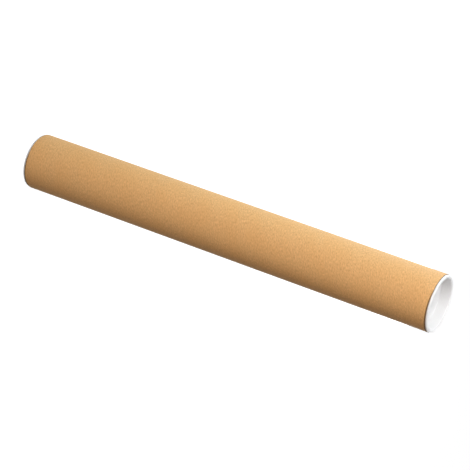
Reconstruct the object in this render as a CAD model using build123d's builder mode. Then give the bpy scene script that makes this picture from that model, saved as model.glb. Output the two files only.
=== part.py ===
from build123d import *
from math import radians, tan
import os

# Cardboard mailing tube with a push-fit plastic cap in each end, in millimetres.
# It stands on its lower cap. Z runs along the tube, and the origin is under its middle.

# The tube, wound from board and cut square at both ends
tube_outer_diameter = 80.0
tube_wall = 2.0
tube_length = 630.0
cut_edge_round = 0.25

# The cap's flange, which seats on the tube's cut end
flange_inset = 0.5  # from the tube's outer face in to the flange's rim
flange_height = 2.5
rim_round = 1.2
mouth_round = 0.9
seat_edge_round = 0.8

# The cap's skirt and floor, which go into the tube
skirt_gap = 0.9  # from the tube's bore to the skirt, between its ribs
cap_wall = 2.0
recess_depth = 15.0  # from the flange's face to the recess's floor
recess_corner_round = 1.3
floor_thickness = 1.8
toe_round = 2.0
root_round = 0.3
mould_draft = 2.5  # degrees

# The grip ribs round the skirt
rib_gap = 0.1  # from the tube's bore to a rib's crest
rib_count = 3
rib_start = 2.2  # from the seat to the first rib
rib_land = 0.6
rib_lead_in = 1.2

# The mark that the moulding gate leaves in the middle of the recess
gate_mark_radius = 3.0
gate_mark_depth = 0.4

tube_radius = tube_outer_diameter / 2
bore_radius = tube_radius - tube_wall
flange_radius = tube_radius - flange_inset
skirt_radius = bore_radius - skirt_gap
mouth_radius = skirt_radius - cap_wall
crest_radius = bore_radius - rib_gap

# Heights of the cap are counted outwards from its seat on the tube's cut end
draft = tan(radians(mould_draft))
floor_height = flange_height - recess_depth
toe_height = floor_height - floor_thickness
recess_floor_radius = mouth_radius - recess_depth * draft
toe_radius = skirt_radius + toe_height * draft

# The ribs share the straight part of the skirt evenly
rib_pitch = (-toe_height - toe_round - rib_start) / rib_count
rib_root_radius = skirt_radius - cap_wall / 2

# The tube's lower end stands on the lower cap's flange
lower_seat_height = flange_height
upper_seat_height = lower_seat_height + tube_length

os.makedirs("parts", exist_ok=True)

# The tube: one wall, with the edges of its cut ends just softened
with BuildPart() as tube:
    with BuildSketch(Plane.XY.offset(lower_seat_height)):
        Circle(tube_radius)
        Circle(bore_radius, mode=Mode.SUBTRACT)
    extrude(amount=tube_length)
    fillet(tube.edges().filter_by(GeomType.CIRCLE), radius=cut_edge_round)

tube.part.label = "tube"
export_step(tube.part, "parts/tube.step")

# Each cap is drawn in a plane through the axis: x is the radius, y points out of its end of the tube
cap_planes = {
    "top_cap": Plane(origin=(0, 0, upper_seat_height), x_dir=(1, 0, 0), z_dir=(0, -1, 0)),
    "bottom_cap": Plane(origin=(0, 0, lower_seat_height), x_dir=(1, 0, 0), z_dir=(0, 1, 0)),
}

# Half of the cap's section: its corners and the radius of each, from the recess's middle
# over the flange and down the skirt to the underside's middle
cap_corners = [
    (gate_mark_radius, floor_height - gate_mark_depth, 0),
    (gate_mark_radius, floor_height, 0),
    (recess_floor_radius, floor_height, recess_corner_round),
    (mouth_radius, flange_height, mouth_round),
    (flange_radius, flange_height, rim_round),
    (flange_radius, 0, seat_edge_round),
    (skirt_radius, 0, root_round),
    (toe_radius, toe_height, toe_round),
]
recess_middle = (0, floor_height - gate_mark_depth)
underside_middle = (0, toe_height)

# The caps: the same moulding in each end, turned about the tube's axis
for cap_name, cap_plane in cap_planes.items():
    with BuildPart() as cap:
        with BuildSketch(cap_plane):
            with BuildLine():
                FilletPolyline(
                    recess_middle,
                    *[(x, y) for x, y, corner_round in cap_corners],
                    underside_middle,
                    radius=[corner_round for x, y, corner_round in cap_corners],
                )
                Line(underside_middle, recess_middle)
            make_face()
            for rib in range(rib_count):
                rib_top = -rib_start - rib * rib_pitch
                with BuildLine():
                    Polyline(
                        (rib_root_radius, rib_top),
                        (crest_radius, rib_top),
                        (crest_radius, rib_top - rib_land),
                        (rib_root_radius, rib_top - rib_land - rib_lead_in),
                        close=True,
                    )
                make_face()
        revolve(axis=Axis.Z)

    cap.part.label = cap_name
    export_step(cap.part, f"parts/{cap_name}.step")
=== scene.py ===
import math

import bpy
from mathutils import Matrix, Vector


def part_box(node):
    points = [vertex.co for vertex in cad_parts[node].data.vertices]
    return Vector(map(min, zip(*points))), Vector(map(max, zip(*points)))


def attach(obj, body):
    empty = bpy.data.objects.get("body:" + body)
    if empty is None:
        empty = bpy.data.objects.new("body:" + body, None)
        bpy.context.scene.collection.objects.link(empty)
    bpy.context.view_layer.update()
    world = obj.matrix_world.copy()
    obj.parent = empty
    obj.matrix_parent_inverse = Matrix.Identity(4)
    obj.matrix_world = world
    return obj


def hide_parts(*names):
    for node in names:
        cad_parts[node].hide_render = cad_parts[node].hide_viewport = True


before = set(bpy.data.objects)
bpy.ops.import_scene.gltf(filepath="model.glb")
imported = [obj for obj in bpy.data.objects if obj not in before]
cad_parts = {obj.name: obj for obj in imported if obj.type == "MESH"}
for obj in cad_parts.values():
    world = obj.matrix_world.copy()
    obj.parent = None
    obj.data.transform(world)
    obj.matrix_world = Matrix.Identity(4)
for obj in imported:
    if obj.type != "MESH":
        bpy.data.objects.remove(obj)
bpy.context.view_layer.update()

# The tube. Strips of brown kraft paper are wound round a mandrel and glued ply on ply into one wall,
# which is cut square at both ends. The outer strip's edges meet in a fine seam that climbs round the
# tube, and the liner, the innermost strip, has a seam of its own.

tube_low, tube_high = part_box("tube")
tube_radius = tube_high.x
bore_radius = min(point.co.xy.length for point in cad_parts["tube"].data.vertices)
middle_radius = (tube_radius + bore_radius) / 2

strip_climb = 0.130  # how far a strip climbs in one turn
turns = 7
turn_steps = 160
strip_rows = 16
seam_half_width = 0.00035
seam_shoulder = seam_half_width * 3
seam_depth = 0.00002

# Each seam is placed by one point that it passes: a direction round the tube and a height
outer_seam_angle = math.radians(-98)
outer_seam_height = tube_low.z + 0.084
liner_seam_angle = math.radians(40)
liner_seam_height = tube_low.z + 0.031

# At the cut ends the wall's two edges are softened, and the plies show as rings between them
outer_edge_round = 0.0005
inner_edge_round = 0.00025
edge_turns = [math.radians(30), math.radians(60), math.radians(90)]
ply_count = 8
ply_thickness = (tube_radius - bore_radius) / ply_count
ring_width = (tube_radius - bore_radius - outer_edge_round - inner_edge_round) / ply_count

smooth_angle = math.radians(35)
weld_distance = 1e-5
point_tolerance = 1e-6
cut_tolerance = 1e-7


def select_points(piece, chosen):
    """Leaves the active piece in edit mode, with only the points at the chosen places selected."""
    bpy.ops.object.mode_set(mode="EDIT")
    bpy.ops.mesh.select_all(action="DESELECT")
    bpy.ops.object.mode_set(mode="OBJECT")
    for point in piece.data.vertices:
        point.select = chosen(point.co)
    bpy.ops.object.mode_set(mode="EDIT")


def wind_strip(name, radius, groove, edge_round, seam_angle, seam_height):
    """Winds one strip's edge-to-edge profile up a screw and cuts it off square at the tube's ends."""
    half = strip_climb / 2
    row = strip_climb / strip_rows
    bpy.ops.object.select_all(action="DESELECT")
    bpy.ops.mesh.primitive_grid_add(
        x_subdivisions=1, y_subdivisions=strip_rows, size=strip_climb, rotation=(math.pi / 2, 0, 0))
    strip = bpy.context.object
    strip.name = name
    bpy.ops.object.transform_apply(location=True, rotation=True, scale=True)

    # One upright row of points is kept as the strip's profile
    select_points(strip, lambda place: place.x > 0)
    bpy.ops.mesh.delete(type="VERT")

    # At both edges the next two points move close to the edge, which itself dips into the seam
    for rows_in, inset in ((1, seam_half_width), (2, seam_shoulder)):
        for side in (-1, 1):
            height = side * (half - rows_in * row)
            select_points(strip, lambda place: abs(place.z - height) < row / 4)
            bpy.ops.transform.translate(value=(0, 0, side * (rows_in * row - inset)))
    select_points(strip, lambda place: abs(place.z) > half - seam_half_width / 2)
    bpy.ops.transform.translate(value=(-groove, 0, 0))

    # The winding starts below the tube, whole turns under the point that its seam passes. With no
    # window the rotate operator turns the other way, so its angle has the opposite sign.
    start = seam_height - math.ceil((seam_height + strip_climb) / strip_climb) * strip_climb
    bpy.ops.mesh.select_all(action="SELECT")
    bpy.ops.transform.translate(value=(radius + half, 0, start + half))
    bpy.ops.transform.rotate(value=-seam_angle, orient_axis="Z", center_override=(0, 0, 0))
    bpy.ops.object.mode_set(mode="OBJECT")

    screw = strip.modifiers.new("winding", "SCREW")
    screw.axis = "Z"
    screw.angle = 2 * math.pi
    screw.screw_offset = strip_climb
    screw.iterations = turns
    screw.steps = turn_steps
    screw.render_steps = turn_steps
    bpy.ops.object.modifier_apply(modifier="winding")

    bpy.ops.object.mode_set(mode="EDIT")
    bpy.ops.mesh.select_all(action="SELECT")
    bpy.ops.mesh.remove_doubles(threshold=weld_distance)
    for cut_height, at_foot in ((tube_low.z + edge_round, True), (tube_high.z - edge_round, False)):
        bpy.ops.mesh.select_all(action="SELECT")
        bpy.ops.mesh.bisect(plane_co=(0, 0, cut_height), plane_no=(0, 0, 1), threshold=cut_tolerance,
                            clear_inner=at_foot, clear_outer=not at_foot)
    bpy.ops.object.mode_set(mode="OBJECT")
    return strip


wall = wind_strip("wound_tube", tube_radius, seam_depth, outer_edge_round,
                  outer_seam_angle, outer_seam_height)
liner = wind_strip("liner", bore_radius, 0, inner_edge_round, liner_seam_angle, liner_seam_height)
bpy.ops.object.select_all(action="DESELECT")
liner.select_set(True)
wall.select_set(True)
bpy.context.view_layer.objects.active = wall
bpy.ops.object.join()


def softened_edge(radius, side, edge_round, angles):
    """An edge's points, each as a radius and a depth below the cut face, at some angles of its turn."""
    return [(radius + side * edge_round * (1 - math.cos(angle)), edge_round * (1 - math.sin(angle)))
            for angle in angles]


# At each end the outer loop is carried over the softened edge, across the cut plies and into the bore
outer_edge = softened_edge(tube_radius, -1, outer_edge_round, edge_turns)
cut_rings = [(tube_radius - outer_edge_round - ring * ring_width, 0) for ring in range(1, ply_count + 1)]
inner_edge = softened_edge(bore_radius, 1, inner_edge_round, reversed(edge_turns[:-1]))
for end, inwards in ((tube_low.z, 1), (tube_high.z, -1)):
    outer_loop = end + inwards * outer_edge_round
    inner_loop = end + inwards * inner_edge_round
    select_points(wall, lambda place: abs(place.z - outer_loop) < point_tolerance
                  and place.xy.length > middle_radius)
    last_radius = tube_radius
    last_depth = outer_edge_round
    for radius, depth in outer_edge + cut_rings + inner_edge:
        shrink = radius / last_radius
        bpy.ops.mesh.extrude_region()
        bpy.ops.transform.resize(value=(shrink, shrink, 1), center_override=(0, 0, 0))
        bpy.ops.transform.translate(value=(0, 0, inwards * (depth - last_depth)))
        last_radius = radius
        last_depth = depth

    # The last loop is bridged to the liner's own end
    last_loop = end + inwards * last_depth
    select_points(wall, lambda place: place.xy.length < last_radius + point_tolerance
                  and min(abs(place.z - inner_loop), abs(place.z - last_loop)) < point_tolerance)
    bpy.ops.mesh.bridge_edge_loops()
bpy.ops.mesh.select_all(action="SELECT")
bpy.ops.mesh.normals_make_consistent(inside=False)
bpy.ops.object.mode_set(mode="OBJECT")
bpy.ops.object.shade_smooth_by_angle(angle=smooth_angle)


class Shade:
    """A socket of a node tree. Sums on it add Math nodes, and node() adds any other kind."""

    def __init__(self, tree, socket=None):
        self.tree = tree
        self.socket = socket

    def node(self, kind, inputs, output=0, **settings):
        """Adds a node, with its settings and then the values or links of its sockets."""
        made = self.tree.nodes.new(kind)
        for name, setting in settings.items():
            setattr(made, name, setting)
        for name, value in inputs.items():
            if isinstance(value, Shade):
                self.tree.links.new(value.socket, made.inputs[name])
            else:
                made.inputs[name].default_value = value
        return Shade(self.tree, made.outputs[output])

    def maths(self, operation, *others):
        return self.node("ShaderNodeMath", dict(enumerate((self, *others))), operation=operation)

    def __add__(self, other):
        return self.maths("ADD", other)

    def __sub__(self, other):
        return self.maths("SUBTRACT", other)

    def __rsub__(self, other):
        return self.node("ShaderNodeMath", {0: other, 1: self}, operation="SUBTRACT")

    def __mul__(self, other):
        return self.maths("MULTIPLY", other)

    def __truediv__(self, other):
        return self.maths("DIVIDE", other)

    def __rtruediv__(self, other):
        return self.node("ShaderNodeMath", {0: other, 1: self}, operation="DIVIDE")

    __radd__ = __add__
    __rmul__ = __mul__

    def fade(self, low, high):
        """0 below low and 1 above high, or the other way round where low is the larger."""
        return self.node("ShaderNodeMapRange", {"Value": self, "From Min": low, "From Max": high},
                         interpolation_type="SMOOTHSTEP")

    def blend(self, first, second):
        """The first colour where this is 0 and the second where it is 1. A Mix node has sockets of one
        name for each kind of value, so those for colours are given by number."""
        return self.node("ShaderNodeMix", {0: self, 6: first, 7: second}, output=2, data_type="RGBA")

    def noise(self, x, y, z, detail=2.0, roughness=0.5):
        """Soft noise from -1 to 1, whose grains are one unit of x, y and z across."""
        place = self.node("ShaderNodeCombineXYZ", {"X": x, "Y": y, "Z": z})
        grain = self.node("ShaderNodeTexNoise", {"Vector": place, "Scale": 1.0, "Detail": detail,
                                                 "Roughness": roughness})
        return grain * 2 - 1


def start_material(name):
    """A new material, and the object's own X, Y and Z to work from."""
    material = bpy.data.materials.new(name)
    material.use_nodes = True
    place = Shade(material.node_tree).node("ShaderNodeTexCoord", {}, output="Object")
    axes = [place.node("ShaderNodeSeparateXYZ", {"Vector": place}, output=axis) for axis in "XYZ"]
    return material, axes


def finish_material(material, colour, roughness, height, constants):
    """Joins a colour, a roughness and a height in metres to the material's shader, and sets what is the
    same all over it."""
    shader = material.node_tree.nodes["Principled BSDF"]
    bump = colour.node("ShaderNodeBump", {"Height": height, "Distance": 1.0})
    for name, shade in (("Base Color", colour), ("Roughness", roughness), ("Normal", bump)):
        shade.tree.links.new(shade.socket, shader.inputs[name])
    for name, value in constants.items():
        shader.inputs[name].default_value = value


# Bark flecks lie in a loose net on the strip, one small speck in some of its cells
fleck_net_along = 0.013
fleck_net_across = 0.007
fleck_rim, fleck_core = 0.060, 0.030  # in cells from the speck's middle
fleck_draw_none, fleck_draw_full = 0.45, 0.75  # each cell draws a number from 0 to 1
fleck_strength = 0.5
fleck_brown = (0.10, 0.050, 0.022, 1)

seam_core = 0.00005
seam_strength = 0.05
seam_brown = (0.16, 0.085, 0.040, 1)

# Painted shade: near both cut ends the paper is darkened on one side of the tube, the side that lies in
# shade, as in the shadowed gap under a cap's flange. Where that side starts and where it is full are
# cosines of the angle from its direction.
shade_side_angle = math.radians(-25)
shade_side_start, shade_side_full = -0.05, 0.55
end_shade_reach, end_shade_core = 0.0023, 0.0009
end_shade_strength = 0.9
painted_shade_brown = (0.070, 0.037, 0.019, 1)

ruddy_strength = 0.3
ruddy_layer = 20  # clear of the laps, so that the ruddy clouds have a pattern of their own
paper_roughness = 0.62
fibre_gloss = 0.12  # uncoated fibres scatter light, and have little gloss


def kraft_paper(name, radius, seam_angle, seam_height, pale, deep, ruddy):
    """Kraft paper as it lies on a wound strip: its fibres run along the strip, and flecks and
    clouds break up its brown."""
    material, (x, y, z) = start_material(name)
    around = 2 * math.pi * radius
    turn_length = math.hypot(around, strip_climb)
    strip_width = around * strip_climb / turn_length

    # Where a point lies on the unwound strip: its turn, and then its place across and along, in metres
    turn = y.maths("ARCTAN2", x) / (2 * math.pi)
    seam_turn = seam_height / strip_climb - seam_angle / (2 * math.pi)
    climbed = z / strip_climb - turn - seam_turn
    lap = climbed.maths("FLOOR")
    share = climbed - lap
    across = share * strip_width
    along = (turn + lap) * turn_length + share * (strip_climb ** 2 / turn_length)

    def strip_noise(length, width, layer=lap, **softness):
        """Noise with grains of a length along the strip and a width across it, in metres."""
        return x.noise(along / length, across / width, layer, **softness)

    clouds = strip_noise(length=0.060, width=0.035)
    blotches = strip_noise(length=0.009, width=0.005, detail=3.0)
    mottle = strip_noise(length=0.0036, width=0.0014, detail=4.0, roughness=0.62)
    fibres = strip_noise(length=0.0030, width=0.00022, detail=3.0, roughness=0.6)
    grain = strip_noise(length=0.00045, width=0.00035)

    # How far each pattern turns the brown from its middle towards its deep or its pale colour
    tone = 0.5 + clouds * 0.10 + blotches * 0.15 + mottle * 1.45 + fibres * 0.50 + grain * 0.20
    paper = tone.blend(deep, pale)
    warmth = strip_noise(length=0.045, width=0.030, layer=lap + ruddy_layer, detail=3.0)
    paper = (warmth.fade(-0.5, 0.5) * ruddy_strength).blend(paper, ruddy)

    net_place = x.node("ShaderNodeCombineXYZ", {
        "X": along / fleck_net_along, "Y": across / fleck_net_across, "Z": lap})
    net = {"Vector": net_place, "Scale": 1.0}
    cell_distance = x.node("ShaderNodeTexVoronoi", net, output="Distance")
    cell_colour = x.node("ShaderNodeTexVoronoi", net, output="Color")
    cell_draw = x.node("ShaderNodeSeparateColor", {"Color": cell_colour}, output="Red")
    speck = cell_distance.fade(fleck_rim, fleck_core)
    fleck = speck * cell_draw.fade(fleck_draw_none, fleck_draw_full)
    paper = (fleck * fleck_strength).blend(paper, fleck_brown)

    # The strip's two edges meet in a slightly darker line
    edge_distance = share.maths("MINIMUM", 1 - share) * strip_width
    seam = edge_distance.fade(seam_half_width, seam_core)
    paper = (seam * seam_strength).blend(paper, seam_brown)

    # Painted shade, darkening the paper near the cut ends on the side that lies in shade
    shade_side = (x * math.cos(shade_side_angle) + y * math.sin(shade_side_angle)) / radius
    end_distance = (z - tube_low.z).maths("MINIMUM", tube_high.z - z)
    at_edge = end_distance.fade(end_shade_reach, end_shade_core)
    painted_end_shade = at_edge * shade_side.fade(shade_side_start, shade_side_full)
    paper = (painted_end_shade * end_shade_strength).blend(paper, painted_shade_brown)

    # The sheet's relief and the nap of its fibres are heights in metres
    roughness = paper_roughness + blotches * 0.05 + fibres * 0.05
    relief = clouds * 0.00010 + blotches * 0.000020 + mottle * 0.000006
    nap = fibres * 0.000010 + grain * 0.000005
    finish_material(material, paper, roughness, relief + nap, {"Specular IOR Level": fibre_gloss})
    return material


# The cut bares the board's own brown, with darker glue between its plies, and painted shade darkens
# its outer rim, where it meets the cap's flange
fur_grain = 0.0004
fur_height = 0.00004
fresh_board = (0.56, 0.40, 0.245, 1)
shaded_board = (0.36, 0.235, 0.130, 1)
board_roughness = 0.85
glue_rim, glue_core = 0.20, 0.05  # in plies from the middle of the glue
glue_strength = 0.5
glue_brown = (0.24, 0.150, 0.080, 1)
# The rim of painted shade on the cut face, as radii from the tube's axis
rim_start = tube_radius - outer_edge_round * 1.5
rim_core = tube_radius - outer_edge_round * 0.5
rim_shade_strength = 0.7


def cut_board(name):
    """The wall's cut face: the edges of the plies, ring in ring, a little furry from the blade."""
    material, (x, y, z) = start_material(name)
    radius = (x * x + y * y).maths("SQRT")
    ply = (radius - bore_radius) / ply_thickness
    glue = (ply - ply.maths("ROUND")).maths("ABSOLUTE").fade(glue_rim, glue_core)
    fur = x.noise(x / fur_grain, y / fur_grain, z / fur_grain, detail=3.0)
    colour = (0.5 + fur * 0.5).blend(shaded_board, fresh_board)
    colour = (glue * glue_strength).blend(colour, glue_brown)
    # Painted shade along the outer rim, in the gap under the cap's flange
    colour = (radius.fade(rim_start, rim_core) * rim_shade_strength).blend(colour, painted_shade_brown)
    roughness = board_roughness + fur * 0.05
    finish_material(material, colour, roughness, (fur - glue) * fur_height, {})
    return material


outer_paper = kraft_paper("outer_kraft_paper", tube_radius, outer_seam_angle, outer_seam_height,
                          pale=(0.83, 0.48, 0.206, 1), deep=(0.551, 0.304, 0.114, 1),
                          ruddy=(0.712, 0.365, 0.124, 1))
liner_paper = kraft_paper("liner_kraft_paper", bore_radius, liner_seam_angle, liner_seam_height,
                          pale=(0.66, 0.455, 0.275, 1), deep=(0.50, 0.33, 0.19, 1),
                          ruddy=(0.59, 0.375, 0.205, 1))
board_edge = cut_board("cut_board_edge")

outside, inside, cut_face = range(3)
for finish in (outer_paper, liner_paper, board_edge):
    wall.data.materials.append(finish)
for face in wall.data.polygons:
    face.material_index = outside if face.center.xy.length > middle_radius else inside
    edge_round = outer_edge_round if face.material_index == outside else inner_edge_round
    if min(face.center.z - tube_low.z, tube_high.z - face.center.z) < edge_round:
        face.material_index = cut_face

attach(wall, "tube")
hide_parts("tube")

# The two end caps. Each is moulded from white polyethylene and pushed into the bore until its flange
# seats on the cut end. They keep their construction solids, with the moulded finish added here.

recess_depth = 0.015
cap_white = (0.92, 0.92, 0.92, 1)
cap_shaded_white = (0.88, 0.88, 0.88, 1)
cap_roughness = 0.36
sway_grain = 0.014
haze_grain = 0.0035
stipple_grain = 0.0005
turning_pitch = 0.0009
turning_start, turning_full = 0.0008, 0.0002  # in height from the recess's floor
light_reach = 0.005


def moulded_polyethylene(name, floor_height):
    """White polyethylene off a turned mould: satin, faintly wavy, with fine turning marks on its floor."""
    material, (x, y, z) = start_material(name)
    radius = (x * x + y * y).maths("SQRT")
    sway = x.noise(x / sway_grain, y / sway_grain, z / sway_grain)
    haze = x.noise(x / haze_grain, y / haze_grain, z / haze_grain, detail=3.0)
    stipple = x.noise(x / stipple_grain, y / stipple_grain, z / stipple_grain)
    colour = (0.5 + sway * 0.3 + haze * 0.3).blend(cap_shaded_white, cap_white)
    rings = (radius * (2 * math.pi / turning_pitch)).maths("SINE")
    on_floor = (z - floor_height).maths("ABSOLUTE").fade(turning_start, turning_full)
    roughness = cap_roughness + haze * 0.05 + sway * 0.04
    height = sway * 0.00005 + stipple * 0.0000015 + rings * on_floor * 0.000002

    # Light soaks a few millimetres into it
    finish_material(material, colour, roughness, height, {
        "Subsurface Weight": 1.0, "Subsurface Radius": (1, 1, 1), "Subsurface Scale": light_reach})
    return material


for cap_name, floor_height in (
        ("top_cap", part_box("top_cap")[1].z - recess_depth),
        ("bottom_cap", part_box("bottom_cap")[0].z + recess_depth)):
    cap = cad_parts[cap_name]
    cap.data.materials.clear()
    cap.data.materials.append(moulded_polyethylene("white_polyethylene_" + cap_name, floor_height))

# The floor that the tube stands on is a plain white sheet, and what lies beyond it is white too. Both
# show as paper white behind the tube, and the floor keeps a trace of its shadow.

floor_size = 12
paper_white = (1, 1, 1, 1)
near_glow = (0.93, 0.93, 0.93, 1)
glow_rises_from, glow_full_from = 1.0, 5.0
seen_paint = (0.34, 0.34, 0.34, 1)
unseen_paint = (0.20, 0.20, 0.20, 1)
seen_surround = 1.0
unseen_surround = 0.03


def seen_or_mirrored(shade):
    """1 for what the camera sees, straight or in a gloss or through a clear piece, and otherwise 0."""
    camera_ray, glossy_ray, transmission_ray = [
        shade.node("ShaderNodeLightPath", {}, output=ray)
        for ray in ("Is Camera Ray", "Is Glossy Ray", "Is Transmission Ray")]
    return (camera_ray + glossy_ray + transmission_ray).fade(0.0, 1.0)


bpy.ops.object.select_all(action="DESELECT")
bpy.ops.mesh.primitive_plane_add(size=floor_size, location=(0, 0, 0))
floor = bpy.context.object
floor.name = "floor"
sheet, (x, y, z) = start_material("white_floor")
far_off = (x * x + y * y).maths("SQRT").fade(glow_rises_from, glow_full_from)
glow = x.node("ShaderNodeEmission", {"Color": far_off.blend(near_glow, paper_white), "Strength": 1.0})
paint = x.node("ShaderNodeBsdfDiffuse", {"Color": seen_paint})
seen = x.node("ShaderNodeAddShader", {0: glow, 1: paint})
unseen = x.node("ShaderNodeBsdfDiffuse", {"Color": unseen_paint})
white = x.node("ShaderNodeMixShader", {0: seen_or_mirrored(x), 1: unseen, 2: seen})
x.tree.links.new(white.socket, x.tree.nodes["Material Output"].inputs["Surface"])
floor.data.materials.append(sheet)

world = bpy.data.worlds.new("studio")
bpy.context.scene.world = world
world.use_nodes = True
beyond = Shade(world.node_tree)
dim, full = [beyond.node("ShaderNodeBackground", {"Color": paper_white, "Strength": strength})
             for strength in (unseen_surround, seen_surround)]
backdrop = beyond.node("ShaderNodeMixShader", {0: seen_or_mirrored(beyond), 1: dim, 2: full})
beyond.tree.links.new(backdrop.socket, beyond.tree.nodes["World Output"].inputs["Surface"])

# The lamps are soft boxes, all turned to the middle of the tube. Most of them stand on the side that
# lies uppermost in the photograph, and their soft tints follow the light in it.

tube_middle = (tube_low + tube_high) / 2
tube_middle.x = 0
tube_middle.y = 0


def soft_box(name, place, width, height, power, colour=(1, 1, 1)):
    """A rectangular area lamp at a place, turned to the middle of the tube."""
    lamp = bpy.data.lights.new(name, "AREA")
    lamp.shape = "RECTANGLE"
    lamp.size = width
    lamp.size_y = height
    lamp.energy = power
    lamp.color = colour
    box = bpy.data.objects.new(name, lamp)
    bpy.context.scene.collection.objects.link(box)
    box.location = place
    box.rotation_mode = "QUATERNION"
    box.rotation_quaternion = (tube_middle - box.location).to_track_quat("-Z", "Y")


soft_box("front_soft_box", place=(0, -1.88, 0.62), width=1.2, height=1.2, power=14.3,
         colour=(1.0, 0.86, 0.79))
soft_box("key_soft_box", place=(-1.0, -1.4, 0.95), width=1.0, height=1.0, power=11.6,
         colour=(0.86, 0.96, 1.0))
soft_box("rim_soft_box", place=(-1.34, 1.34, 0.62), width=1.2, height=1.2, power=16.5,
         colour=(0.95, 0.98, 1.0))
soft_box("side_soft_box", place=(-0.70, 0.10, 0.52), width=0.5, height=0.2, power=3.6,
         colour=(0.58, 0.81, 1.0))
soft_box("top_soft_box", place=(-0.55, -0.4, 2.0), width=1.2, height=1.2, power=18.0,
         colour=(0.95, 0.98, 1.0))
soft_box("fill_soft_box", place=(-0.1, -0.9, 1.6), width=1.0, height=1.0, power=5.0,
         colour=(1.0, 0.86, 0.80))
soft_box("back_soft_box", place=(0.4, 1.8, 0.28), width=1.0, height=0.5, power=14.4)

# The camera stands where the photograph was taken from. The photograph shows the tube lying across
# the picture, so the camera is rolled to its side.

camera_elevation = math.radians(23.95)
camera_roll = math.radians(109.73)
camera_distance = 2.537
camera_aim = (0.0054, 0, 0.3281)
camera_lens = 142.7

bpy.ops.object.camera_add(location=(
    camera_aim[0],
    -camera_distance * math.cos(camera_elevation),
    camera_aim[2] + camera_distance * math.sin(camera_elevation)))
camera = bpy.context.object
camera.name = "camera"
camera.data.lens = camera_lens
camera.rotation_mode = "ZYX"
camera.rotation_euler = (math.pi / 2 - camera_elevation, 0, camera_roll)
bpy.context.scene.camera = camera

bpy.context.scene.view_settings.view_transform = "Standard"
